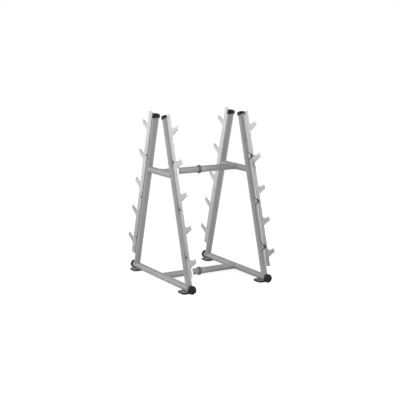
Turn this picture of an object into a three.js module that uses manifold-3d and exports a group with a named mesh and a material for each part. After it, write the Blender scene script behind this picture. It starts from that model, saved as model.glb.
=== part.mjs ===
// Barbell storage rack: two leaning leg frames joined by two jointed crossbars.
// Millimetres, Z up, X along the stored bars, -Y towards the front, floor at zero.
import * as THREE from 'three';
import { mergeVertices } from 'three/addons/utils/BufferGeometryUtils.js';
import Module from 'manifold-3d';

const wasm = await Module();
wasm.setup();

// Frames and tubes
const frameSpacing = 776;
const tubeDiameter = 57;
const tubeWall = 3;
const legTopHeight = 1469.2;
const legTopOffset = 84.5;
const legFootInset = 55;
const braceHeight = 979.6;
const floorTubeLength = 1100;
const tubeClearance = 0.3;

// Feet
const padThickness = 8.6;
const padRimHeight = 5.4;
const padLength = 138;
const padWidth = 107;
const padCornerRadius = 24;
const padOverhang = 4;
const footPlateThickness = 3;
const footInset = 91;

// Caps on the legs
const capDiameter = 70;
const capRise = 20.5;
const capSideDrop = 18;
const capFaceLift = 16.5;
const capEdgeRadius = 8;
const capCrown = 5;

// Caps on the floor tubes
const endCapDiameter = 75;
const endCapLength = 29;
const endCapDepth = 19;
const endCapEdgeRadius = 7;
const endCapCrown = 2;

// Hook plates
const plateWidth = 58;
const plateThickness = 10;
const plateInset = 51;
const plateStandOff = 3;
const plateRise = 8;
const plateFootGap = 94;
const plateTopCornerRadius = 3;
const plateFootCornerRadius = 6;
const hookCount = 5;
const firstSaddleDrop = 125.5;
const lastSaddleRise = 135.5;
const shoulderRise = 12;
const saddleReach = 17.5;
const armReach = 99;
const tipRise = 15.8;
const tipDrop = 17.5;
const rootDrop = 50;
const shoulderRadius = 4;
const saddleRadius = 13;
const tipRadius = 4;
const rootRadius = 10;

// Tabs that carry the hook plates
const tabThickness = 12;
const tabRise = 39;
const tabDrop = 31;
const tabReach = 80;
const tabTipRadius = 9;
const tabFootRadius = 2;
const boltLevels = ['upper', 'middle', 'lower'];
const firstBoltDrop = 399.5;
const lastBoltRise = 173.5;
const boltInset = 61;

// Bolts
const boltDiameter = 10;
const boltHoleDiameter = 11;
const boltHeadDiameter = 18;
const boltHeadHeight = 2.6;
const boltHeadChamfer = 1.2;

// Couplings of the crossbars
const collarDiameter = 75;
const collarLength = 30;
const collarChamfer = 2;
const sleeveDiameter = 61;
const sleeveLength = 50;
const sleeveChamfer = 1;
const jointGap = 1;

// Shared shares and facet counts
const halfShare = 0.5;
const quarterTurn = 90;
const tubeFacets = 36;
const cutterFacets = 48;
const capFacets = 32;
const boltFacets = 16;
const cornerFacets = 2;
const broadCornerFacets = 6;
const edgeFacets = 3;
const cutOverrun = 40;

const tubeRadius = tubeDiameter * halfShare;
const boreRadius = tubeRadius - tubeWall;
const capRadius = capDiameter * halfShare;
const sideOffset = frameSpacing * halfShare;
const floorAxisHeight = padThickness + footPlateThickness + tubeRadius;
const legRun = floorTubeLength * halfShare - legFootInset - legTopOffset;
const legDrop = legTopHeight - floorAxisHeight;
const legLength = Math.hypot(legRun, legDrop);
const lean = Math.atan2(legRun, legDrop);
const plateDrop = legLength - plateFootGap;
const hookPitch = (plateDrop - firstSaddleDrop - lastSaddleRise) / (hookCount - 1);
const boltPitch = (plateDrop - firstBoltDrop - lastBoltRise) / (boltLevels.length - 1);
const braceReach = legTopOffset + legRun * (legTopHeight - braceHeight) / legDrop;

function steelPaint() {
  return new THREE.MeshStandardMaterial({ color: 0xb7b8b8, roughness: 0.42, metalness: 0.25 });
}

function platePaint() {
  return new THREE.MeshStandardMaterial({ color: 0xc4c5c5, roughness: 0.45, metalness: 0.2 });
}

function blackPlastic() {
  return new THREE.MeshStandardMaterial({ color: 0x1b1b1c, roughness: 0.5, metalness: 0 });
}

function blackRubber() {
  return new THREE.MeshStandardMaterial({ color: 0x161616, roughness: 0.85, metalness: 0 });
}

function greyPlastic() {
  return new THREE.MeshStandardMaterial({ color: 0x606162, roughness: 0.5, metalness: 0 });
}

function darkSteel() {
  return new THREE.MeshStandardMaterial({ color: 0x3a3a3b, roughness: 0.4, metalness: 0.8 });
}

// Closed solid from a geometry, ready for cutting and joining
function toSolid(geometry) {
  const bare = geometry.clone();
  bare.deleteAttribute('normal');
  bare.deleteAttribute('uv');
  const welded = mergeVertices(bare);
  return new wasm.Manifold(new wasm.Mesh({
    numProp: 3,
    vertProperties: new Float32Array(welded.attributes.position.array),
    triVerts: new Uint32Array(welded.index.array),
  }));
}

function toGeometry(solid) {
  const data = solid.getMesh();
  const geometry = new THREE.BufferGeometry();
  geometry.setAttribute('position', new THREE.BufferAttribute(data.vertProperties, data.numProp));
  geometry.setIndex(new THREE.BufferAttribute(data.triVerts, 1));
  geometry.computeVertexNormals();
  return geometry;
}

function addMesh(parent, name, solid, material) {
  const mesh = new THREE.Mesh(toGeometry(solid), material);
  mesh.name = name;
  parent.add(mesh);
  return mesh;
}

// Cylinder along Z, centred on the origin
function roundBar(radius, length, facets) {
  const geometry = new THREE.CylinderGeometry(radius, radius, length, facets);
  geometry.rotateX(Math.PI * halfShare);
  return geometry;
}

// Open tube along Z, centred on the origin
function tube(outerRadius, innerRadius, length, facets) {
  const outer = toSolid(roundBar(outerRadius, length, facets));
  const inner = toSolid(roundBar(innerRadius, length + cutOverrun, facets));
  return outer.subtract(inner);
}

// Outline of straight runs whose corners are rounded by arcs
function roundedOutline(corners) {
  const points = [];
  corners.forEach((corner, index) => {
    const before = corners[(index + corners.length - 1) % corners.length];
    const after = corners[(index + 1) % corners.length];
    const here = new THREE.Vector2(corner.x, corner.y);
    const back = new THREE.Vector2(before.x, before.y).sub(here).normalize();
    const ahead = new THREE.Vector2(after.x, after.y).sub(here).normalize();
    const halfAngle = Math.acos(THREE.MathUtils.clamp(back.dot(ahead), -1, 1)) * halfShare;
    const reach = corner.radius / Math.tan(halfAngle);
    const middle = back.clone().add(ahead).normalize();
    const centre = here.clone().addScaledVector(middle, corner.radius / Math.sin(halfAngle));
    const start = here.clone().addScaledVector(back, reach).sub(centre);
    const end = here.clone().addScaledVector(ahead, reach).sub(centre);
    const first = start.angle();
    let sweep = end.angle() - first;
    sweep -= Math.round(sweep / (Math.PI + Math.PI)) * (Math.PI + Math.PI);
    for (let step = 0; step <= corner.facets; step += 1) {
      const angle = first + sweep * step / corner.facets;
      const around = new THREE.Vector2(Math.cos(angle), Math.sin(angle));
      points.push(around.multiplyScalar(corner.radius).add(centre));
    }
  });
  return points;
}

// Flat piece along X from an outline drawn with x across the leg and y along it
function flatPiece(points, thickness, centreX) {
  const shape = new THREE.Shape(points);
  const geometry = new THREE.ExtrudeGeometry(shape, { depth: thickness, bevelEnabled: false, steps: 1 });
  geometry.translate(0, 0, -thickness * halfShare);
  geometry.rotateX(Math.PI * halfShare);
  geometry.rotateZ(Math.PI * halfShare);
  geometry.translate(centreX, 0, 0);
  return toSolid(geometry);
}

function boltHole(radius, height) {
  const hole = roundBar(radius, plateThickness + tabThickness + cutOverrun, boltFacets);
  return toSolid(hole.rotateY(Math.PI * halfShare).translate(0, boltInset, height));
}

// Hook plate with its saddles, standing on one side of the leg's plane
function hookPlate(outboard) {
  const outer = plateInset + plateWidth;
  const corners = [
    { x: plateInset, y: plateRise, radius: plateTopCornerRadius, facets: cornerFacets },
    { x: plateInset, y: -plateDrop, radius: plateTopCornerRadius, facets: cornerFacets },
    { x: outer, y: -plateDrop, radius: plateFootCornerRadius, facets: cornerFacets },
  ];
  for (let index = hookCount - 1; index >= 0; index -= 1) {
    const saddle = -firstSaddleDrop - index * hookPitch;
    corners.push({ x: outer, y: saddle - rootDrop, radius: rootRadius, facets: cornerFacets });
    corners.push({ x: outer + armReach, y: saddle - tipDrop, radius: tipRadius, facets: cornerFacets });
    corners.push({ x: outer + armReach, y: saddle + tipRise, radius: tipRadius, facets: cornerFacets });
    corners.push({ x: outer + saddleReach, y: saddle, radius: saddleRadius, facets: edgeFacets });
    corners.push({ x: outer, y: saddle + shoulderRise, radius: shoulderRadius, facets: cornerFacets });
  }
  corners.push({ x: outer, y: plateRise, radius: plateTopCornerRadius, facets: cornerFacets });
  const middle = outboard * (plateStandOff + plateThickness * halfShare);
  let plate = flatPiece(roundedOutline(corners), plateThickness, middle);
  boltLevels.forEach((level, index) => {
    plate = plate.subtract(boltHole(boltHoleDiameter * halfShare, -firstBoltDrop - index * boltPitch));
  });
  return plate;
}

// Three-sided tab welded to the outer face of the leg, with a close hole for the bolt
function tab(outboard) {
  const base = tubeRadius + tubeClearance;
  const middle = outboard * (plateStandOff - tabThickness * halfShare);
  return flatPiece(roundedOutline([
    { x: base, y: tabRise, radius: tabFootRadius, facets: cornerFacets },
    { x: base, y: -tabDrop, radius: tabFootRadius, facets: cornerFacets },
    { x: tabReach, y: 0, radius: tabTipRadius, facets: edgeFacets },
  ]), tabThickness, middle).subtract(boltHole(boltDiameter * halfShare + tubeClearance, 0));
}

// Low round-headed bolt along X, from the plate's outer face to the tab's inner face
function plateBolt(outboard) {
  const shankRadius = boltDiameter * halfShare;
  const headRadius = boltHeadDiameter * halfShare;
  const plateFace = plateStandOff + plateThickness;
  const tabFace = plateStandOff - tabThickness;
  const profile = [
    new THREE.Vector2(0, tabFace),
    new THREE.Vector2(shankRadius, tabFace),
    new THREE.Vector2(shankRadius, plateFace),
    new THREE.Vector2(headRadius, plateFace),
    new THREE.Vector2(headRadius, plateFace + boltHeadHeight - boltHeadChamfer),
    new THREE.Vector2(headRadius - boltHeadChamfer, plateFace + boltHeadHeight),
    new THREE.Vector2(0, plateFace + boltHeadHeight),
  ];
  const geometry = new THREE.LatheGeometry(profile, boltFacets);
  geometry.rotateZ(-outboard * Math.PI * halfShare);
  geometry.translate(0, boltInset, 0);
  return toSolid(geometry);
}

// Leg tube from its top down to the saddle cut that sits on the floor tube
function legTube() {
  const leg = tube(tubeRadius, boreRadius, legLength, tubeFacets).translate([0, 0, -legLength * halfShare]);
  const cutter = roundBar(tubeRadius + tubeClearance, floorTubeLength, cutterFacets);
  cutter.rotateX(Math.PI * halfShare - lean);
  cutter.translate(0, 0, -legLength);
  return leg.subtract(toSolid(cutter));
}

// Quarter arc of a rounded edge, from the rim towards the crown
function edgeArc(radius, top, edgeRadius) {
  return Array.from({ length: edgeFacets + 1 }, (unused, step) => {
    const angle = Math.PI * halfShare * step / edgeFacets;
    const across = radius - edgeRadius + edgeRadius * Math.cos(angle);
    return new THREE.Vector2(across, top - edgeRadius + edgeRadius * Math.sin(angle));
  });
}

// Shallow dome from the rounded edge in to the axis
function crownArc(radius, top, crown) {
  return Array.from({ length: edgeFacets }, (unused, step) => {
    const share = 1 - (step + 1) / edgeFacets;
    return new THREE.Vector2(radius * share, top - crown * share * share);
  });
}

// Round cap over a tube's end, along Z, with its rim at the lower end
function roundCap(radius, rim, top, tubeEnd, edgeRadius, crown) {
  const bore = tubeRadius + tubeClearance;
  const profile = [
    new THREE.Vector2(0, tubeEnd + tubeClearance),
    new THREE.Vector2(bore, tubeEnd + tubeClearance),
    new THREE.Vector2(bore, rim),
    new THREE.Vector2(radius, rim),
    ...edgeArc(radius, top - crown, edgeRadius),
    ...crownArc(radius - edgeRadius, top, crown),
  ];
  const geometry = new THREE.LatheGeometry(profile, capFacets);
  geometry.rotateX(Math.PI * halfShare);
  return toSolid(geometry);
}

// Cap on a leg, whose rim reaches lower on the two sides along X
function legCap() {
  const keepRadius = (capRadius * capRadius + capFaceLift * capFaceLift) / (capFaceLift + capFaceLift);
  const keep = roundBar(keepRadius, capDiameter + cutOverrun, cutterFacets);
  keep.rotateY(Math.PI * halfShare);
  keep.translate(0, 0, keepRadius - capSideDrop);
  const low = -capSideDrop - tubeClearance;
  const cap = roundCap(capRadius, low, capRise, 0, capEdgeRadius, capCrown);
  return cap.intersect(toSolid(keep));
}

function floorTube() {
  return tube(tubeRadius, boreRadius, floorTubeLength, tubeFacets).rotate([quarterTurn, 0, 0]);
}

// Brace along Y, cut to the two legs that it joins
function braceTube() {
  const brace = tube(tubeRadius, boreRadius, braceReach + braceReach, tubeFacets).rotate([quarterTurn, 0, 0]);
  const cutters = [1, -1].map((side) => {
    const cutter = roundBar(tubeRadius + tubeClearance, capDiameter + cutOverrun, cutterFacets);
    cutter.rotateX(side * lean);
    cutter.translate(0, side * braceReach, 0);
    return toSolid(cutter);
  });
  return brace.subtract(cutters[0]).subtract(cutters[1]);
}

// Half of a crossbar along X, from the tube it is welded to, to the joint in the middle
function crossbarHalf() {
  const length = sideOffset - jointGap * halfShare;
  const bar = tube(tubeRadius, boreRadius, length, tubeFacets).rotate([0, quarterTurn, 0]);
  const cutter = roundBar(tubeRadius + tubeClearance, capDiameter + cutOverrun, cutterFacets);
  cutter.rotateX(Math.PI * halfShare);
  return bar.translate([-length * halfShare, 0, 0]).subtract(toSolid(cutter));
}

// Ring along X around a crossbar, with both edges chamfered
function crossbarRing(diameter, length, chamfer) {
  const outer = diameter * halfShare;
  const inner = tubeRadius + tubeClearance;
  const half = length * halfShare;
  const profile = [
    new THREE.Vector2(inner, -half),
    new THREE.Vector2(outer - chamfer, -half),
    new THREE.Vector2(outer, chamfer - half),
    new THREE.Vector2(outer, half - chamfer),
    new THREE.Vector2(outer - chamfer, half),
    new THREE.Vector2(inner, half),
    new THREE.Vector2(inner, -half),
  ];
  const geometry = new THREE.LatheGeometry(profile, tubeFacets);
  geometry.rotateZ(-Math.PI * halfShare);
  return toSolid(geometry);
}

// Upright piece with round corners, standing on its own base
function footSlab(length, width, cornerRadius, thickness) {
  const x = length * halfShare;
  const y = width * halfShare;
  const signs = [[1, 1], [-1, 1], [-1, -1], [1, -1]];
  const round = { radius: cornerRadius, facets: broadCornerFacets };
  const corners = signs.map(([a, b]) => ({ x: a * x, y: b * y, ...round }));
  const shape = new THREE.Shape(roundedOutline(corners));
  return toSolid(new THREE.ExtrudeGeometry(shape, { depth: thickness, bevelEnabled: false, steps: 1 }));
}

// Steel foot plate seated in the tray of its rubber pad, whose rim is notched for the floor tube
function addFoot(parent, name) {
  const plateLengthX = padLength - padOverhang - padOverhang;
  const plateLengthY = padWidth - padOverhang - padOverhang;
  const plateCorner = padCornerRadius - padOverhang;
  const trayLengthX = plateLengthX + tubeClearance + tubeClearance;
  const trayLengthY = plateLengthY + tubeClearance + tubeClearance;
  const tray = footSlab(trayLengthX, trayLengthY, plateCorner + tubeClearance, cutOverrun);
  const block = footSlab(padLength, padWidth, padCornerRadius, padThickness + padRimHeight);
  const notch = roundBar(tubeRadius + tubeClearance, padWidth + cutOverrun, cutterFacets);
  notch.rotateX(Math.PI * halfShare);
  notch.translate(0, 0, floorAxisHeight);
  const dished = block.subtract(tray.translate([0, 0, padThickness]));
  const pad = addMesh(parent, `foot_pad_${name}`, dished.subtract(toSolid(notch)), blackRubber());
  const slab = footSlab(plateLengthX, plateLengthY, plateCorner, footPlateThickness);
  const plate = addMesh(parent, `foot_plate_${name}`, slab, steelPaint());
  const footPlace = floorTubeLength * halfShare - footInset;
  pad.position.set(0, footPlace, 0);
  plate.position.set(0, footPlace, padThickness);
}

// Everything that leans with one leg
function addLeg(parent, name, outboard) {
  const leg = new THREE.Group();
  leg.position.set(0, legTopOffset, legTopHeight);
  leg.rotation.x = lean;
  addMesh(leg, `leg_tube_${name}`, legTube(), steelPaint());
  addMesh(leg, `leg_cap_${name}`, legCap(), blackPlastic());
  addMesh(leg, `hook_plate_${name}`, hookPlate(outboard), platePaint());
  boltLevels.forEach((level, index) => {
    const height = -firstBoltDrop - index * boltPitch;
    addMesh(leg, `plate_tab_${level}_${name}`, tab(outboard), platePaint()).position.z = height;
    addMesh(leg, `plate_bolt_${level}_${name}`, plateBolt(outboard), darkSteel()).position.z = height;
  });
  parent.add(leg);
}

function addEndCap(parent, name) {
  const rim = floorTubeLength * halfShare - endCapDepth;
  const radius = endCapDiameter * halfShare;
  const cap = roundCap(radius, 0, endCapLength, endCapDepth, endCapEdgeRadius, endCapCrown);
  const mesh = addMesh(parent, `end_cap_${name}`, cap, blackPlastic());
  mesh.position.set(0, rim, floorAxisHeight);
  mesh.rotation.x = -Math.PI * halfShare;
}

// End frame with its outboard side along +X
function endFrame(side, frontSign) {
  const frame = new THREE.Group();
  [1, -1].forEach((sign) => {
    const name = `${side}_${sign === frontSign ? 'front' : 'rear'}`;
    const end = new THREE.Group();
    end.rotation.z = sign > 0 ? 0 : Math.PI;
    addLeg(end, name, sign);
    addEndCap(end, name);
    addFoot(end, name);
    frame.add(end);
  });
  addMesh(frame, `floor_tube_${side}`, floorTube(), steelPaint()).position.z = floorAxisHeight;
  addMesh(frame, `brace_${side}`, braceTube(), steelPaint()).position.z = braceHeight;
  const bar = crossbarHalf();
  addMesh(frame, `crossbar_lower_${side}`, bar, steelPaint()).position.z = floorAxisHeight;
  addMesh(frame, `crossbar_upper_${side}`, bar, steelPaint()).position.z = braceHeight;
  return frame;
}

function addCoupling(parent, level, height) {
  const collar = crossbarRing(collarDiameter, collarLength, collarChamfer);
  const sleeve = crossbarRing(sleeveDiameter, sleeveLength, sleeveChamfer);
  addMesh(parent, `coupling_collar_${level}`, collar, greyPlastic()).position.z = height;
  const sleevePlace = (collarLength + sleeveLength) * halfShare;
  addMesh(parent, `coupling_sleeve_${level}`, sleeve, steelPaint()).position.set(sleevePlace, 0, height);
}

const group = new THREE.Group();
const rightFrame = endFrame('right', -1);
rightFrame.position.x = sideOffset;
const leftFrame = endFrame('left', 1);
leftFrame.position.x = -sideOffset;
leftFrame.rotation.z = Math.PI;
group.add(rightFrame, leftFrame);
addCoupling(group, 'lower', floorAxisHeight);
addCoupling(group, 'upper', braceHeight);

export default group;
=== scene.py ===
import math

import bmesh
import bpy
from mathutils import Matrix, Vector


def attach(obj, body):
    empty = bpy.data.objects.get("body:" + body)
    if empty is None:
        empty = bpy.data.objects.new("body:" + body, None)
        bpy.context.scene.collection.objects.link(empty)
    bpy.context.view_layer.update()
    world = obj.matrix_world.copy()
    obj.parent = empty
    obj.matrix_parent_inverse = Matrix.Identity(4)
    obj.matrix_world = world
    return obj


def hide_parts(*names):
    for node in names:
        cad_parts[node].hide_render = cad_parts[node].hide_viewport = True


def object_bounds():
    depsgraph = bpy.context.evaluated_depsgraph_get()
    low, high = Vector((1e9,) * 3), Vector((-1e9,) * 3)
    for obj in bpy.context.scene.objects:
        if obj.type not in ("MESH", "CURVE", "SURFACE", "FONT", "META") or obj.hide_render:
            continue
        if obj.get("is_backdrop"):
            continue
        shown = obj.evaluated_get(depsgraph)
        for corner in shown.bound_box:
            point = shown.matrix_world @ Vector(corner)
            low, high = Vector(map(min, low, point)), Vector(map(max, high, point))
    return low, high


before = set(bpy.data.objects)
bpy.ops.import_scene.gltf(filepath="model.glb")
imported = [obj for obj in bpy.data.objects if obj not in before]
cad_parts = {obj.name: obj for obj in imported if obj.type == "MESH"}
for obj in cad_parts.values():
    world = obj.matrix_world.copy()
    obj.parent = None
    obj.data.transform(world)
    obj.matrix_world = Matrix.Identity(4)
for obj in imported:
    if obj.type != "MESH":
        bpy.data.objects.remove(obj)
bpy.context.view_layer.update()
scene = bpy.context.scene


# Floor tubes
# Two round steel tubes lie front to back, one under each end frame, and carry everything else.
# They are sawn square from welded tube and powder coated silver-grey with the rest of the frame.
frames = (("left", -1), ("right", 1))
frame_offset = 0.388
floor_axis = 0.0401
floor_tube_length = 1.100
tube_radius = 0.0285
tube_wall = 0.003
tube_sides = 96
sharp_angle = math.radians(38)

# Noise seldom leaves this range, and a coat's colour is part slow cloud and part fine metal flake
noise_low = 0.3
noise_high = 0.7
cloud_share = 0.6
flake_share = 0.4


def node(tree, kind, **values):
    made = tree.nodes.new(kind)
    for socket, value in values.items():
        made.inputs[socket.replace("_", " ")].default_value = value
    return made


def arithmetic(tree, operation, first, second, third=None):
    made = tree.nodes.new("ShaderNodeMath")
    made.operation = operation
    for socket, value in zip(made.inputs, (first, second, third)):
        if isinstance(value, (int, float)):
            socket.default_value = value
        elif value is not None:
            tree.links.new(value, socket)
    return made.outputs[0]


def noise(tree, source, scale, detail, roughness):
    made = node(tree, "ShaderNodeTexNoise", Scale=scale, Detail=detail, Roughness=roughness)
    tree.links.new(source, made.inputs["Vector"])
    return made.outputs["Fac"]


def spread(tree, source, low, high):
    made = node(tree, "ShaderNodeMapRange", From_Min=noise_low, From_Max=noise_high, To_Min=low, To_Max=high)
    tree.links.new(source, made.inputs["Value"])
    return made.outputs["Result"]


def tint(tree, source, dark, light):
    made = tree.nodes.new("ShaderNodeValToRGB")
    made.color_ramp.elements[0].position = noise_low
    made.color_ramp.elements[1].position = noise_high
    made.color_ramp.elements[0].color = (*dark, 1)
    made.color_ramp.elements[1].color = (*light, 1)
    tree.links.new(source, made.inputs["Fac"])
    return made.outputs["Color"]


def relief(tree, source, strength, depth, below=None):
    made = node(tree, "ShaderNodeBump", Strength=strength, Distance=depth)
    tree.links.new(source, made.inputs["Height"])
    if below is not None:
        tree.links.new(below, made.inputs["Normal"])
    return made.outputs["Normal"]


def powder_coat(name, dark, light, metallic, smoothest, roughest):
    paint = bpy.data.materials.new(name)
    paint.use_nodes = True
    tree = paint.node_tree
    shader = tree.nodes["Principled BSDF"]
    shader.inputs["Metallic"].default_value = metallic
    position = tree.nodes.new("ShaderNodeTexCoord").outputs["Object"]
    cloud = noise(tree, position, scale=9.0, detail=5.0, roughness=0.6)
    flake = noise(tree, position, scale=1900.0, detail=2.0, roughness=0.7)
    peel = noise(tree, position, scale=330.0, detail=3.0, roughness=0.55)
    clouded = arithmetic(tree, "MULTIPLY", cloud, cloud_share)
    speckled = arithmetic(tree, "MULTIPLY_ADD", flake, flake_share, clouded)
    tree.links.new(tint(tree, speckled, dark, light), shader.inputs["Base Color"])
    tree.links.new(spread(tree, cloud, smoothest, roughest), shader.inputs["Roughness"])
    fine = relief(tree, flake, strength=0.12, depth=0.0001)
    tree.links.new(relief(tree, peel, strength=0.22, depth=0.0004, below=fine), shader.inputs["Normal"])
    return paint


frame_paint = powder_coat("silver powder coat", dark=(0.278, 0.282, 0.282), light=(0.328, 0.332, 0.332),
                          metallic=0.0, smoothest=0.42, roughest=0.52)


def verts_in(parts):
    return [part for part in parts if isinstance(part, bmesh.types.BMVert)]


def tube_mesh(length):
    mesh = bmesh.new()
    bmesh.ops.create_circle(mesh, cap_ends=False, segments=tube_sides, radius=tube_radius)
    drawn = bmesh.ops.extrude_edge_only(mesh, edges=mesh.edges[:])["geom"]
    bmesh.ops.translate(mesh, verts=verts_in(drawn), vec=(0, 0, length))
    bmesh.ops.recalc_face_normals(mesh, faces=mesh.faces[:])
    bmesh.ops.solidify(mesh, geom=mesh.faces[:], thickness=tube_wall)
    bmesh.ops.translate(mesh, verts=mesh.verts[:], vec=(0, 0, -length / 2))
    return mesh


def turned(angle, axis):
    return Matrix.Rotation(math.radians(angle), 4, axis)


def put(mesh, place):
    bmesh.ops.transform(mesh, matrix=place, verts=mesh.verts[:])


def add_piece(mesh, name, finish, slot, *nodes):
    data = bpy.data.meshes.new(name)
    mesh.to_mesh(data)
    mesh.free()
    data.materials.append(finish)
    data.shade_smooth()
    data.set_sharp_from_angle(angle=sharp_angle)
    piece = bpy.data.objects.new(name, data)
    scene.collection.objects.link(piece)
    weights = piece.modifiers.new("face weights", "WEIGHTED_NORMAL")
    weights.keep_sharp = True
    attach(piece, "root")
    if nodes:
        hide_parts(*nodes)
    return piece


for side, way in frames:
    tube = tube_mesh(floor_tube_length)
    put(tube, Matrix.Translation((way * frame_offset, 0, floor_axis)) @ turned(90, "X"))
    add_piece(tube, f"floor_tube_round_{side}", frame_paint, "frame_paint", f"floor_tube_{side}")


# Feet
# Under each end of a floor tube a thin steel plate with round corners is welded to the tube.
# It sits in the shallow tray of a moulded black rubber pad, whose rim is notched for the tube.
ends = (("front", -1), ("rear", 1))
foot_inset = 0.091
foot_place = floor_tube_length / 2 - foot_inset
pad_size = (0.138, 0.107)
pad_thickness = 0.0086
pad_rim = 0.0054
pad_height = pad_thickness + pad_rim
pad_corner = 0.024
pad_edge = 0.0012
pad_edge_steps = 3
pad_overhang = 0.004
tray_fit = 0.0002
notch_gap = 0.0003
notch_radius = tube_radius + notch_gap
notch_stations = 9
foot_plate_size = (pad_size[0] - 2 * pad_overhang, pad_size[1] - 2 * pad_overhang)
foot_plate_thickness = 0.003
foot_plate_edge = 0.0007
foot_plate_edge_steps = 2
slab_corner_steps = 16


def slab_mesh(size, corner, thickness, edge, edge_steps):
    mesh = bmesh.new()
    bmesh.ops.create_grid(mesh, x_segments=1, y_segments=1, size=0.5)
    bmesh.ops.scale(mesh, vec=(*size, 1), verts=mesh.verts[:])
    bmesh.ops.bevel(mesh, geom=mesh.verts[:], offset=corner, offset_type="OFFSET", affect="VERTICES",
                    segments=slab_corner_steps, profile=0.5, material=-1)
    raised = bmesh.ops.extrude_face_region(mesh, geom=mesh.faces[:])["geom"]
    bmesh.ops.translate(mesh, verts=verts_in(raised), vec=(0, 0, thickness))
    bmesh.ops.recalc_face_normals(mesh, faces=mesh.faces[:])
    rims = [line for line in mesh.edges if abs(line.verts[0].co.z - line.verts[1].co.z) < 1e-6]
    bmesh.ops.bevel(mesh, geom=rims, offset=edge, offset_type="OFFSET", affect="EDGES",
                    segments=edge_steps, profile=0.5, material=-1)
    return mesh


# Insets the pad's flat top and sinks it, which leaves the rim standing
def sink_tray(pad):
    tray = [face for face in pad.faces if face.normal.z > 0.99 and len(face.verts) > 4]
    bmesh.ops.inset_region(pad, faces=tray, thickness=pad_overhang - pad_edge - tray_fit, depth=0,
                           use_even_offset=True)
    sunk = bmesh.ops.extrude_face_region(pad, geom=tray)["geom"]
    bmesh.ops.delete(pad, geom=tray, context="FACES_ONLY")
    bmesh.ops.translate(pad, verts=verts_in(sunk), vec=(0, 0, -pad_rim))


# Cuts the pad across at close stations, and lowers its rim there to the round of the floor tube
def notch_rim(pad):
    half = math.sqrt(notch_radius ** 2 - (floor_axis - pad_height) ** 2)
    for step in range(-notch_stations, notch_stations + 1):
        everything = pad.verts[:] + pad.edges[:] + pad.faces[:]
        station = (half * step / notch_stations, 0, 0)
        bmesh.ops.bisect_plane(pad, geom=everything, dist=1e-7, plane_co=station, plane_no=(1, 0, 0))
    for vert in pad.verts:
        if abs(vert.co.x) < half:
            clear = floor_axis - math.sqrt(notch_radius ** 2 - vert.co.x ** 2)
            vert.co.z = min(vert.co.z, clear)


def rubber_finish():
    rubber = bpy.data.materials.new("black rubber")
    rubber.use_nodes = True
    tree = rubber.node_tree
    shader = tree.nodes["Principled BSDF"]
    position = tree.nodes.new("ShaderNodeTexCoord").outputs["Object"]
    dust = noise(tree, position, scale=40.0, detail=6.0, roughness=0.65)
    grain = noise(tree, position, scale=900.0, detail=3.0, roughness=0.6)
    dusty = tint(tree, dust, dark=(0.018, 0.018, 0.018), light=(0.032, 0.031, 0.030))
    tree.links.new(dusty, shader.inputs["Base Color"])
    tree.links.new(spread(tree, dust, low=0.72, high=0.9), shader.inputs["Roughness"])
    tree.links.new(relief(tree, grain, strength=0.4, depth=0.0003), shader.inputs["Normal"])
    return rubber


black_rubber = rubber_finish()

for side, way in frames:
    for end, out in ends:
        where = f"{side}_{end}"
        x, y = way * frame_offset, out * foot_place
        pad = slab_mesh(pad_size, pad_corner, pad_height, pad_edge, pad_edge_steps)
        sink_tray(pad)
        notch_rim(pad)
        bmesh.ops.translate(pad, verts=pad.verts[:], vec=(x, y, 0))
        add_piece(pad, f"foot_pad_moulded_{where}", black_rubber, "rubber", f"foot_pad_{where}")
        plate = slab_mesh(foot_plate_size, pad_corner - pad_overhang, foot_plate_thickness,
                          foot_plate_edge, foot_plate_edge_steps)
        bmesh.ops.translate(plate, verts=plate.verts[:], vec=(x, y, pad_thickness))
        add_piece(plate, f"foot_plate_cut_{where}", frame_paint, "frame_paint", f"foot_plate_{where}")


# Caps on the floor tubes
# Each open end of a floor tube takes a black moulded cap that slips over the tube.
# It is injection moulded plastic with a fine grain, a rounded rim and a slightly domed face.
end_cap_radius = 0.0375
end_cap_length = 0.029
end_cap_depth = 0.019
end_cap_edge = 0.007
end_cap_crown = 0.002
end_cap_lead_in = 0.0005
end_cap_rim_edge = 0.0008
cap_sides = 96
slip_fit = 0.0002
slip_bore = tube_radius + slip_fit


def plastic_finish(name, gloss, dark, light):
    plastic = bpy.data.materials.new(name)
    plastic.use_nodes = True
    tree = plastic.node_tree
    shader = tree.nodes["Principled BSDF"]
    shader.inputs["Specular IOR Level"].default_value = gloss
    position = tree.nodes.new("ShaderNodeTexCoord").outputs["Object"]
    cloud = noise(tree, position, scale=30.0, detail=4.0, roughness=0.6)
    grain = noise(tree, position, scale=1500.0, detail=2.0, roughness=0.6)
    tree.links.new(tint(tree, cloud, dark, light), shader.inputs["Base Color"])
    tree.links.new(spread(tree, cloud, low=0.38, high=0.5), shader.inputs["Roughness"])
    tree.links.new(relief(tree, grain, strength=0.35, depth=0.00015), shader.inputs["Normal"])
    return plastic


black_plastic = plastic_finish("black moulded plastic", gloss=0.3,
                               dark=(0.005, 0.005, 0.0055), light=(0.009, 0.009, 0.0095))


# Spins a profile of (distance from the axis, place along it) once round the axis
def lathed_mesh(profile, sides):
    mesh = bmesh.new()
    corners = [mesh.verts.new((across, 0, along)) for across, along in profile]
    lines = [mesh.edges.new(pair) for pair in zip(corners, corners[1:])]
    bmesh.ops.spin(mesh, geom=corners + lines, cent=(0, 0, 0), axis=(0, 0, 1), dvec=(0, 0, 0),
                   angle=math.tau, steps=sides, use_merge=True, use_duplicate=False)
    bmesh.ops.remove_doubles(mesh, verts=mesh.verts[:], dist=1e-6)
    bmesh.ops.recalc_face_normals(mesh, faces=mesh.faces[:])
    return mesh


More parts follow.
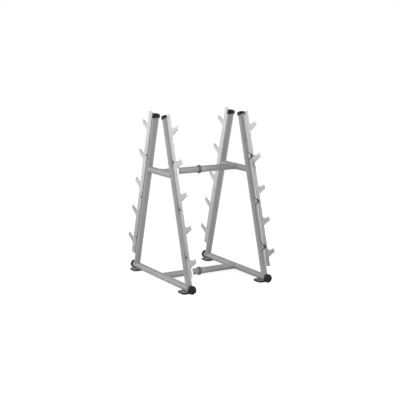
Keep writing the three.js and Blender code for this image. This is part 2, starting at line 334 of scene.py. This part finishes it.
# A round edge, and from it a slightly crowned face up to the axis
def dome_profile(radius, top, edge, crown, steps=8):
    arc = []
    for step in range(steps + 1):
        angle = math.pi / 2 * step / steps
        arc.append((radius - edge + edge * math.cos(angle), top - crown - edge + edge * math.sin(angle)))
    for step in range(1, steps):
        share = 1 - step / steps
        arc.append(((radius - edge) * share, top - crown * share * share))
    return arc + [(0, top)]


for side, way in frames:
    for end, out in ends:
        where = f"{side}_{end}"
        inside = [(0, end_cap_depth + slip_fit), (slip_bore, end_cap_depth + slip_fit)]
        rim = [(slip_bore, end_cap_lead_in), (slip_bore + end_cap_lead_in, 0),
               (end_cap_radius - end_cap_rim_edge, 0), (end_cap_radius, end_cap_rim_edge)]
        dome = dome_profile(end_cap_radius, end_cap_length, end_cap_edge, end_cap_crown)
        cap = lathed_mesh(inside + rim + dome, cap_sides)
        rim_place = out * (floor_tube_length / 2 - end_cap_depth)
        put(cap, Matrix.Translation((way * frame_offset, rim_place, floor_axis)) @ turned(-90 * out, "X"))
        add_piece(cap, f"end_cap_domed_{where}", black_plastic, "black_plastic", f"end_cap_{where}")


# Legs
# Four round steel tubes lean inwards in pairs. Each is coped at the foot to sit on its floor tube.
# A continuous bead of weld runs round the foot, and the whole leg is powder coated with the frame.
leg_top_height = 1.4692
leg_top_offset = 0.0845
leg_foot_inset = 0.055
leg_drop = leg_top_height - floor_axis
leg_run = floor_tube_length / 2 - leg_foot_inset - leg_top_offset
leg_length = math.hypot(leg_drop, leg_run)
lean = math.atan2(leg_run, leg_drop)
bead_radius = 0.0028
bead_sides = 10
bead_ripples = 64
bead_swell = 0.12
steps_per_ripple = 4


# A leg is drawn from its top downwards, with its hooks along local Y
def leg_place(way, out):
    stand = Matrix.Translation((way * frame_offset, out * leg_top_offset, leg_top_height))
    facing = turned(0 if out > 0 else 180, "Z")
    return stand @ facing @ Matrix.Rotation(lean, 4, "X")


# How far a crossing tube's wall stands over its own axis, at a distance x from that axis
def crossing_rise(x):
    return math.sqrt(max(0.0, tube_radius * tube_radius - x * x))


def leg_foot(x, y):
    return -leg_length + (crossing_rise(x) - y * math.sin(lean)) / math.cos(lean)


# Cuts the low or the high end of an upright tube to the given height at each point
def cope(mesh, low, height):
    middle = sum(vert.co.z for vert in mesh.verts) / len(mesh.verts)
    for vert in mesh.verts:
        if (vert.co.z < middle) == low:
            vert.co.z = height(vert.co.x, vert.co.y)


# A rippled ring of weld round a tube, which follows the tube's coped end
def bead_mesh(height):
    mesh = bmesh.new()
    bmesh.ops.create_circle(mesh, cap_ends=False, segments=bead_sides, radius=bead_radius)
    put(mesh, Matrix.Translation((tube_radius, 0, 0)) @ turned(90, "X"))
    bmesh.ops.spin(mesh, geom=mesh.verts[:] + mesh.edges[:], cent=(0, 0, 0), axis=(0, 0, 1), dvec=(0, 0, 0),
                   angle=math.tau, steps=bead_ripples * steps_per_ripple, use_merge=True, use_duplicate=False)
    bmesh.ops.remove_doubles(mesh, verts=mesh.verts[:], dist=1e-7)
    bmesh.ops.recalc_face_normals(mesh, faces=mesh.faces[:])
    for vert in mesh.verts:
        around = math.atan2(vert.co.y, vert.co.x)
        x, y = tube_radius * math.cos(around), tube_radius * math.sin(around)
        swell = 1 + bead_swell * math.cos(bead_ripples * around)
        vert.co = Vector((x + (vert.co.x - x) * swell, y + (vert.co.y - y) * swell, vert.co.z * swell))
        vert.co.z += height(x, y)
    return mesh


for side, way in frames:
    for end, out in ends:
        where = f"{side}_{end}"
        leg = tube_mesh(leg_length)
        bmesh.ops.translate(leg, verts=leg.verts[:], vec=(0, 0, -leg_length / 2))
        cope(leg, low=True, height=leg_foot)
        put(leg, leg_place(way, out))
        add_piece(leg, f"leg_tube_round_{where}", frame_paint, "frame_paint", f"leg_tube_{where}")
        bead = bead_mesh(leg_foot)
        put(bead, leg_place(way, out))
        add_piece(bead, f"leg_weld_{where}", frame_paint, "frame_paint")


# Caps on the legs
# A black moulded cap sits over the top of each leg, wider than the tube, with a rounded upper edge.
# Its rim is scooped: it reaches lower on the two sides than at the front and the back.
leg_cap_radius = 0.035
leg_cap_rise = 0.0205
leg_cap_side_drop = 0.018
leg_cap_lift = 0.0165
leg_cap_edge = 0.008
leg_cap_crown = 0.005
scoop_radius = (leg_cap_radius ** 2 + leg_cap_lift ** 2) / (2 * leg_cap_lift)


def leg_cap_rim(y):
    return scoop_radius - leg_cap_side_drop - math.sqrt(scoop_radius ** 2 - y * y)


for side, way in frames:
    for end, out in ends:
        where = f"{side}_{end}"
        low = -leg_cap_side_drop
        inside = [(0, slip_fit), (slip_bore, slip_fit), (slip_bore, low), (leg_cap_radius, low)]
        dome = dome_profile(leg_cap_radius, leg_cap_rise, leg_cap_edge, leg_cap_crown)
        cap = lathed_mesh(inside + dome, cap_sides)
        for vert in cap.verts:
            if abs(vert.co.z - low) < 1e-6:
                vert.co.z = leg_cap_rim(vert.co.y)
        put(cap, leg_place(way, out))
        add_piece(cap, f"leg_cap_scooped_{where}", black_plastic, "black_plastic", f"leg_cap_{where}")


# Braces
# A short tube joins the two legs of each end frame at two thirds of their height.
# Both its ends are coped to the leaning legs and welded all round.
brace_height = 0.9796
brace_reach = leg_top_offset + leg_run * (leg_top_height - brace_height) / leg_drop
laid_flat = Matrix(((1, 0, 0, 0), (0, 0, 1, 0), (0, 1, 0, 0), (0, 0, 0, 1)))


def brace_end(x, y):
    return brace_reach - (crossing_rise(x) + y * math.sin(lean)) / math.cos(lean)


# Laying a tube flat swaps its Y and Z, which turns its faces inside out, so they are turned back
def lay_in_frame(mesh, way):
    put(mesh, Matrix.Translation((way * frame_offset, 0, brace_height)) @ laid_flat)
    bmesh.ops.reverse_faces(mesh, faces=mesh.faces[:])


for side, way in frames:
    brace = tube_mesh(2 * brace_reach)
    cope(brace, low=False, height=brace_end)
    cope(brace, low=True, height=lambda x, y: -brace_end(x, y))
    lay_in_frame(brace, way)
    add_piece(brace, f"brace_round_{side}", frame_paint, "frame_paint", f"brace_{side}")
    for end, out in ends:
        bead = bead_mesh(lambda x, y: out * brace_end(x, y))
        lay_in_frame(bead, way)
        add_piece(bead, f"brace_weld_{side}_{end}", frame_paint, "frame_paint")


# Crossbars
# Two bars tie the end frames together, one between the floor tubes and one between the braces.
# Each is made in two halves, coped and welded at the frame and butted inside a coupling in the middle.
levels = (("lower", floor_axis), ("upper", brace_height))
joint_gap = 0.001
bar_length = frame_offset - joint_gap / 2


def bar_end(x, y):
    return bar_length - crossing_rise(x)


for level, height in levels:
    for side, way in frames:
        where = f"{level}_{side}"
        place = Matrix.Translation((way * joint_gap / 2, 0, height)) @ turned(90 * way, "Y")
        bar = tube_mesh(bar_length)
        bmesh.ops.translate(bar, verts=bar.verts[:], vec=(0, 0, bar_length / 2))
        cope(bar, low=False, height=bar_end)
        put(bar, place)
        add_piece(bar, f"crossbar_round_{where}", frame_paint, "frame_paint", f"crossbar_{where}")
        bead = bead_mesh(bar_end)
        put(bead, place)
        add_piece(bead, f"crossbar_weld_{where}", frame_paint, "frame_paint")


# Couplings
# In the middle of each crossbar a wide collar and a thinner, longer sleeve hold the two halves.
# The collar is moulded plastic, coloured dark grey partly as painted shade for the shadow round the joint.
# The sleeve is turned steel with a paler powder coat.
collar_radius = 0.0375
collar_length = 0.020
collar_middle = -0.004
collar_chamfer = 0.002
sleeve_radius = 0.0305
sleeve_length = 0.050
sleeve_middle = collar_middle + (collar_length + sleeve_length) / 2
sleeve_chamfer = 0.001
# The collar's dark grey is partly painted shade, for the shadow that gathers round the joint
grey_plastic = plastic_finish("grey plastic with painted shade", gloss=0.5,
                              dark=(0.10, 0.10, 0.102), light=(0.14, 0.14, 0.142))
sleeve_paint = powder_coat("pale silver powder coat", dark=(0.33, 0.334, 0.334), light=(0.39, 0.394, 0.394),
                           metallic=0.0, smoothest=0.38, roughest=0.46)


def ring_mesh(outer, length, chamfer):
    half = length / 2
    return lathed_mesh([(slip_bore, -half), (outer - chamfer, -half), (outer, chamfer - half),
                        (outer, half - chamfer), (outer - chamfer, half), (slip_bore, half),
                        (slip_bore, -half)], tube_sides)


for level, height in levels:
    collar = ring_mesh(collar_radius, collar_length, collar_chamfer)
    put(collar, Matrix.Translation((collar_middle, 0, height)) @ turned(90, "Y"))
    add_piece(collar, f"collar_moulded_{level}", grey_plastic, "grey_plastic", f"coupling_collar_{level}")
    sleeve = ring_mesh(sleeve_radius, sleeve_length, sleeve_chamfer)
    put(sleeve, Matrix.Translation((sleeve_middle, 0, height)) @ turned(90, "Y"))
    add_piece(sleeve, f"sleeve_turned_{level}", sleeve_paint, "frame_paint", f"coupling_sleeve_{level}")


# Hook plates
# A long steel plate stands outside each leg, parallel to it, with five open saddles for barbell handles.
# It is laser cut in one piece, its edges are eased, and its coat is lighter and more metallic.
plate_inner = 0.051
plate_outer = 0.109
plate_thickness = 0.010
plate_stand_off = 0.003
plate_rise = 0.008
plate_foot_gap = 0.094
plate_drop = leg_length - plate_foot_gap
plate_corner = 0.003
plate_foot_corner = 0.006
plate_edge = 0.0009
hook_count = 5
first_saddle_drop = 0.1255
last_saddle_rise = 0.1355
hook_pitch = (plate_drop - first_saddle_drop - last_saddle_rise) / (hook_count - 1)
plate_edge_steps = 3

# Each corner of a hook: how far out from the plate, how far above its seat, its radius and its steps
hook_corners = {
    "root": (0, -0.050, 0.010, 6),
    "tip": (0.099, -0.0175, 0.004, 5),
    "lip": (0.099, 0.0158, 0.004, 5),
    "saddle": (0.0175, 0, 0.013, 8),
    "shoulder": (0, 0.012, 0.004, 5),
}
plate_paint = powder_coat("light silver powder coat", dark=(0.57, 0.575, 0.575), light=(0.63, 0.635, 0.635),
                          metallic=1.0, smoothest=0.28, roughest=0.36)


# The bevel is set back along both edges by as much as an arc of the given radius needs
def round_corner(mesh, corner, radius, steps):
    first, second = [line.other_vert(corner).co - corner.co for line in corner.link_edges]
    reach = radius / math.tan(first.angle(second) / 2)
    bmesh.ops.bevel(mesh, geom=[corner], offset=reach, offset_type="OFFSET", affect="VERTICES",
                    segments=steps, profile=0.5, material=-1)


def cut_plate(corners, thickness, edge):
    mesh = bmesh.new()
    points = [mesh.verts.new((0, across, along)) for across, along, radius, steps in corners]
    mesh.faces.new(points)
    for point, (across, along, radius, steps) in zip(points, corners):
        round_corner(mesh, point, radius, steps)
    thick = bmesh.ops.extrude_face_region(mesh, geom=mesh.faces[:])["geom"]
    bmesh.ops.translate(mesh, verts=verts_in(thick), vec=(thickness, 0, 0))
    bmesh.ops.recalc_face_normals(mesh, faces=mesh.faces[:])
    rims = [line for line in mesh.edges if abs(line.verts[0].co.x - line.verts[1].co.x) < 1e-7]
    bmesh.ops.bevel(mesh, geom=rims, offset=edge, offset_type="OFFSET", affect="EDGES",
                    segments=plate_edge_steps, profile=0.5, material=-1)
    return mesh


def plate_outline():
    corners = [(plate_inner, plate_rise, plate_corner, 4), (plate_inner, -plate_drop, plate_corner, 4),
               (plate_outer, -plate_drop, plate_foot_corner, 5)]
    for index in reversed(range(hook_count)):
        seat = -first_saddle_drop - index * hook_pitch
        for reach, rise, radius, steps in hook_corners.values():
            corners.append((plate_outer + reach, seat + rise, radius, steps))
    return corners + [(plate_outer, plate_rise, plate_corner, 4)]


for side, way in frames:
    for end, out in ends:
        where = f"{side}_{end}"
        plate = cut_plate(plate_outline(), plate_thickness, plate_edge)
        near = plate_stand_off if way * out > 0 else -plate_stand_off - plate_thickness
        bmesh.ops.translate(plate, verts=plate.verts[:], vec=(near, 0, 0))
        put(plate, leg_place(way, out))
        add_piece(plate, f"hook_plate_cut_{where}", plate_paint, "plate_paint", f"hook_plate_{where}")


# Tabs
# Three flat three-sided steel tabs are welded to each leg and carry its hook plate.
# They are cut from thick plate and have a rounded tip, and their cut edges carry painted shade: a near-black
# coat for the shadow in the narrow gap between leg and plate.
tab_levels = ("upper", "middle", "lower")
tab_thickness = 0.012
tab_root = 0.027
tab_rise = 0.039
tab_drop = 0.031
tab_reach = 0.080
tab_root_corner = 0.001
tab_tip_corner = 0.009
tab_edge = 0.0006
first_bolt_drop = 0.3995
last_bolt_rise = 0.1735
bolt_pitch = (plate_drop - first_bolt_drop - last_bolt_rise) / (len(tab_levels) - 1)
tab_outline = [(tab_root, tab_rise, tab_root_corner, 2), (tab_root, -tab_drop, tab_root_corner, 2),
               (tab_reach, 0, tab_tip_corner, 8)]
# Painted shade: a near-black coat that stands in for the shadow on the tab's edges between leg and plate
tab_edge_painted_shade = powder_coat("tab edge painted shade", dark=(0.06, 0.06, 0.062), light=(0.10, 0.10, 0.101),
                        metallic=0.6, smoothest=0.45, roughest=0.55)


def bolt_level(index):
    return -first_bolt_drop - index * bolt_pitch


for side, way in frames:
    for end, out in ends:
        for index, level in enumerate(tab_levels):
            where = f"{level}_{side}_{end}"
            tab = cut_plate(tab_outline, tab_thickness, tab_edge)
            near = plate_stand_off - tab_thickness if way * out > 0 else -plate_stand_off
            bmesh.ops.translate(tab, verts=tab.verts[:], vec=(near, 0, bolt_level(index)))
            tab.normal_update()
            tab.faces.index_update()
            # The tab's side faces, which take the painted shade
            rims = [face.index for face in tab.faces if abs(face.normal.x) < 0.7]
            put(tab, leg_place(way, out))
            piece = add_piece(tab, f"tab_cut_{where}", plate_paint, "plate_paint", f"plate_tab_{where}")
            piece.data.materials.append(tab_edge_painted_shade)
            for rim in rims:
                piece.data.polygons[rim].material_index = 1


# Bolts
# A low round-headed screw clamps the hook plate to each tab and ends flush in the tab's thread.
# It is cold-formed steel with a hexagon socket in the head and a black oxide finish.
bolt_inset = 0.061
bolt_radius = 0.005
bolt_tip_chamfer = 0.0006
bolt_sides = 48
head_radius = 0.009
head_height = 0.0026
head_crown = 0.0012
head_edge = (0.0003, 0.0004)
head_steps = 6
socket_radius = 0.0032
socket_lip = 0.0009
socket_depth = 0.0018
head_face = plate_stand_off + plate_thickness
head_top = head_face + head_height
bolt_tip = plate_stand_off - tab_thickness


def steel_finish():
    steel = bpy.data.materials.new("black oxide steel")
    steel.use_nodes = True
    tree = steel.node_tree
    shader = tree.nodes["Principled BSDF"]
    shader.inputs["Metallic"].default_value = 0.85
    position = tree.nodes.new("ShaderNodeTexCoord").outputs["Object"]
    cloud = noise(tree, position, scale=160.0, detail=5.0, roughness=0.6)
    pits = noise(tree, position, scale=1400.0, detail=2.0, roughness=0.6)
    oxide = tint(tree, cloud, dark=(0.035, 0.035, 0.037), light=(0.075, 0.074, 0.073))
    tree.links.new(oxide, shader.inputs["Base Color"])
    tree.links.new(spread(tree, cloud, low=0.32, high=0.48), shader.inputs["Roughness"])
    tree.links.new(relief(tree, pits, strength=0.25, depth=0.0001), shader.inputs["Normal"])
    return steel


dark_steel = steel_finish()


def bolt_mesh():
    profile = [(0, bolt_tip), (bolt_radius - bolt_tip_chamfer, bolt_tip),
               (bolt_radius, bolt_tip + bolt_tip_chamfer), (bolt_radius, head_face),
               (head_radius - head_edge[0], head_face), (head_radius, head_face + head_edge[1]),
               (head_radius, head_top - head_crown)]
    lip = socket_radius + socket_lip
    for step in range(1, head_steps + 1):
        share = step / head_steps
        profile.append((head_radius - (head_radius - lip) * share, head_top - head_crown * (1 - share) ** 2))
    return lathed_mesh(profile + [(0, head_top)], bolt_sides)


# Joins the middle of the head into one face, pulls its rim into a hexagon and sinks it
def sink_socket(bolt):
    lip = socket_radius + socket_lip
    inner = {vert for vert in bolt.verts if vert.co.z > head_top - 1e-6 and vert.co.xy.length < lip + 1e-6}
    middle = [face for face in bolt.faces if inner.issuperset(face.verts)]
    bmesh.ops.dissolve_faces(bolt, faces=middle, use_verts=True)
    crown = max((face for face in bolt.faces if face.normal.z > 0.99), key=lambda face: len(face.verts))
    bmesh.ops.inset_region(bolt, faces=[crown], thickness=socket_lip, depth=0, use_even_offset=True)
    for vert in crown.verts:
        around = math.atan2(vert.co.y, vert.co.x)
        from_flat = (around % (math.pi / 3)) - math.pi / 6
        reach = socket_radius * math.cos(math.pi / 6) / math.cos(from_flat)
        vert.co.x, vert.co.y = reach * math.cos(around), reach * math.sin(around)
    sunk = bmesh.ops.extrude_face_region(bolt, geom=[crown])["geom"]
    bmesh.ops.delete(bolt, geom=[crown], context="FACES_ONLY")
    bmesh.ops.translate(bolt, verts=verts_in(sunk), vec=(0, 0, -socket_depth))


for side, way in frames:
    for end, out in ends:
        for index, level in enumerate(tab_levels):
            where = f"{level}_{side}_{end}"
            bolt = bolt_mesh()
            sink_socket(bolt)
            hole = leg_place(way, out) @ Matrix.Translation((0, bolt_inset, bolt_level(index)))
            put(bolt, hole @ turned(90 * way * out, "Y"))
            add_piece(bolt, f"bolt_formed_{where}", dark_steel, "dark_steel", f"plate_bolt_{where}")


# Plugs
# Small black plastic plugs, moulded with a low dome, are pressed into the drilled holes of the legs.
# Two sit opposite each other beside the upper tab, and one low on the inner side.
plug_radius = 0.006
plug_rise = 0.002
plug_depth = 0.001
plug_edge = 0.0012
plug_crown = 0.0004
plug_sides = 40
plug_steps = 5
upper_plug_drop = 0.405
lower_plug_drop = 1.369

for side, way in frames:
    for end, out in ends:
        plugs = (("upper", upper_plug_drop, (1, -1)), ("lower", lower_plug_drop, (-way * out,)))
        for level, drop, faces in plugs:
            for face in faces:
                dome = dome_profile(plug_radius, plug_rise, plug_edge, plug_crown, plug_steps)
                plug = lathed_mesh([(0, -plug_depth), (plug_radius, -plug_depth)] + dome, plug_sides)
                hole = Matrix.Translation((face * tube_radius, 0, -drop)) @ turned(90 * face, "Y")
                put(plug, leg_place(way, out) @ hole)
                wall = "out" if face * way * out > 0 else "in"
                add_piece(plug, f"plug_{level}_{wall}_{side}_{end}", black_plastic, "black_plastic")


# Floor and light
# The rack stands on a pale studio floor, in a room with a bright horizon and three bright walls.
# The camera sees floor and room as white. A lamp at the left, a card at the front right and a lamp
# overhead shape the tubes.
floor_radius = 4.0
floor_shade = 0.8
shown_shade = 0.35
shown_glow = 0.8
room_strength = 1.01

# Brightness of the room by height: where each tone lies, from straight down at 0 to straight up at 1
band_places = (0.0, 0.5, 0.56, 0.66, 0.80, 1.0)
room_tones = (0.34, 0.34, 1.0, 0.0, 0.70, 0.0)

# Each bright wall: the way to it, its tones by height and its strength
walls = (
    ((-0.863, 0.505, 0), (0, 0, 0, 1.0, 0.36, 0), 3.32),
    ((-0.253, 0.967, 0), (0, 0.5, 1.0, 0, 0, 0), 1.62),
    ((0.863, -0.505, 0), (0, 0.5, 1.0, 0, 0, 0), 2.5),
)

# Each lamp: its place, diameter and power
lamps = {
    "key": ((-5.0, -1.5, 2.4), 2.4, 61),
    "card": ((2.6, -4.6, 2.3), 2.0, 39),
    "top": ((2.2, -2.2, 4.4), 2.4, 66),
}
lamp_aim = Vector((0, 0, 0.7))


# Everything but the camera sees the plain finish
def white_to_camera(tree, plain, white, target):
    path = tree.nodes.new("ShaderNodeLightPath")
    mixed = tree.nodes.new("ShaderNodeMixShader")
    tree.links.new(path.outputs["Is Camera Ray"], mixed.inputs[0])
    tree.links.new(plain, mixed.inputs[1])
    tree.links.new(white, mixed.inputs[2])
    tree.links.new(mixed.outputs[0], target)


floor_mesh = bmesh.new()
bmesh.ops.create_circle(floor_mesh, cap_ends=True, cap_tris=False, segments=96, radius=floor_radius)
floor_data = bpy.data.meshes.new("studio floor")
floor_mesh.to_mesh(floor_data)
floor_mesh.free()
floor = bpy.data.objects.new("studio_floor", floor_data)
scene.collection.objects.link(floor)
floor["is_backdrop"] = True
floor_paint = bpy.data.materials.new("studio floor")
floor_paint.use_nodes = True
floor_tree = floor_paint.node_tree
floor_tree.nodes.clear()
plain = node(floor_tree, "ShaderNodeBsdfDiffuse", Color=(floor_shade, floor_shade, floor_shade, 1))
shown = node(floor_tree, "ShaderNodeBsdfDiffuse", Color=(shown_shade, shown_shade, shown_shade, 1))
glow = node(floor_tree, "ShaderNodeEmission", Color=(1, 1, 1, 1), Strength=shown_glow)
white = floor_tree.nodes.new("ShaderNodeAddShader")
floor_tree.links.new(shown.outputs[0], white.inputs[0])
floor_tree.links.new(glow.outputs[0], white.inputs[1])
floor_out = floor_tree.nodes.new("ShaderNodeOutputMaterial")
white_to_camera(floor_tree, plain.outputs[0], white.outputs[0], floor_out.inputs["Surface"])
floor_data.materials.append(floor_paint)

world = bpy.data.worlds.new("studio")
scene.world = world
world.use_nodes = True
sky = world.node_tree
sky.nodes.clear()
facing = sky.nodes.new("ShaderNodeTexCoord").outputs["Generated"]
upward = sky.nodes.new("ShaderNodeSeparateXYZ")
sky.links.new(facing, upward.inputs[0])
raised = node(sky, "ShaderNodeMapRange", From_Min=-1.0, From_Max=1.0, To_Min=0.0, To_Max=1.0)
sky.links.new(upward.outputs["Z"], raised.inputs["Value"])


def band(tones):
    ramp = sky.nodes.new("ShaderNodeValToRGB")
    while len(ramp.color_ramp.elements) < len(band_places):
        ramp.color_ramp.elements.new(0.5)
    for element, place, tone in zip(ramp.color_ramp.elements, band_places, tones):
        element.position = place
        element.color = (tone, tone, tone, 1)
    sky.links.new(raised.outputs["Result"], ramp.inputs["Fac"])
    return ramp.outputs["Color"]


total = arithmetic(sky, "MULTIPLY", band(room_tones), room_strength)
for wall, tones, strength in walls:
    toward = sky.nodes.new("ShaderNodeVectorMath")
    toward.operation = "DOT_PRODUCT"
    toward.inputs[1].default_value = wall
    sky.links.new(facing, toward.inputs[0])
    share = arithmetic(sky, "POWER", arithmetic(sky, "MAXIMUM", toward.outputs["Value"], 0), 2)
    lit = arithmetic(sky, "MULTIPLY", share, band(tones))
    total = arithmetic(sky, "MULTIPLY_ADD", lit, strength, total)
room = node(sky, "ShaderNodeBackground", Color=(1, 1, 1, 1))
sky.links.new(total, room.inputs["Strength"])
bright = node(sky, "ShaderNodeBackground", Color=(1, 1, 1, 1), Strength=1.0)
sky_out = sky.nodes.new("ShaderNodeOutputWorld")
white_to_camera(sky, room.outputs[0], bright.outputs[0], sky_out.inputs["Surface"])

for name, (place, size, power) in lamps.items():
    lamp_data = bpy.data.lights.new(name, "AREA")
    lamp_data.shape = "DISK"
    lamp_data.size = size
    lamp_data.energy = power
    lamp = bpy.data.objects.new(name, lamp_data)
    lamp.location = place
    lamp.rotation_mode = "QUATERNION"
    lamp.rotation_quaternion = (lamp_aim - Vector(place)).to_track_quat("-Z", "Y")
    scene.collection.objects.link(lamp)

scene.view_settings.view_transform = "Standard"


# Camera
# A long lens looks at the middle of the rack from the front left.
# It stands nearly nine metres away, and higher than the top of the rack.
camera_place = Vector((-4.3220, -7.3946, 2.2448))
camera_aim = Vector((0.0067, -0.0039, 0.6974))
camera_data = bpy.data.cameras.new("camera")
camera_data.sensor_width = 36
camera_data.lens = 86.709
camera = bpy.data.objects.new("camera", camera_data)
camera.location = camera_place
camera.rotation_mode = "QUATERNION"
camera.rotation_quaternion = (camera_aim - camera_place).to_track_quat("-Z", "Y")
scene.collection.objects.link(camera)
scene.camera = camera


low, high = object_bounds()
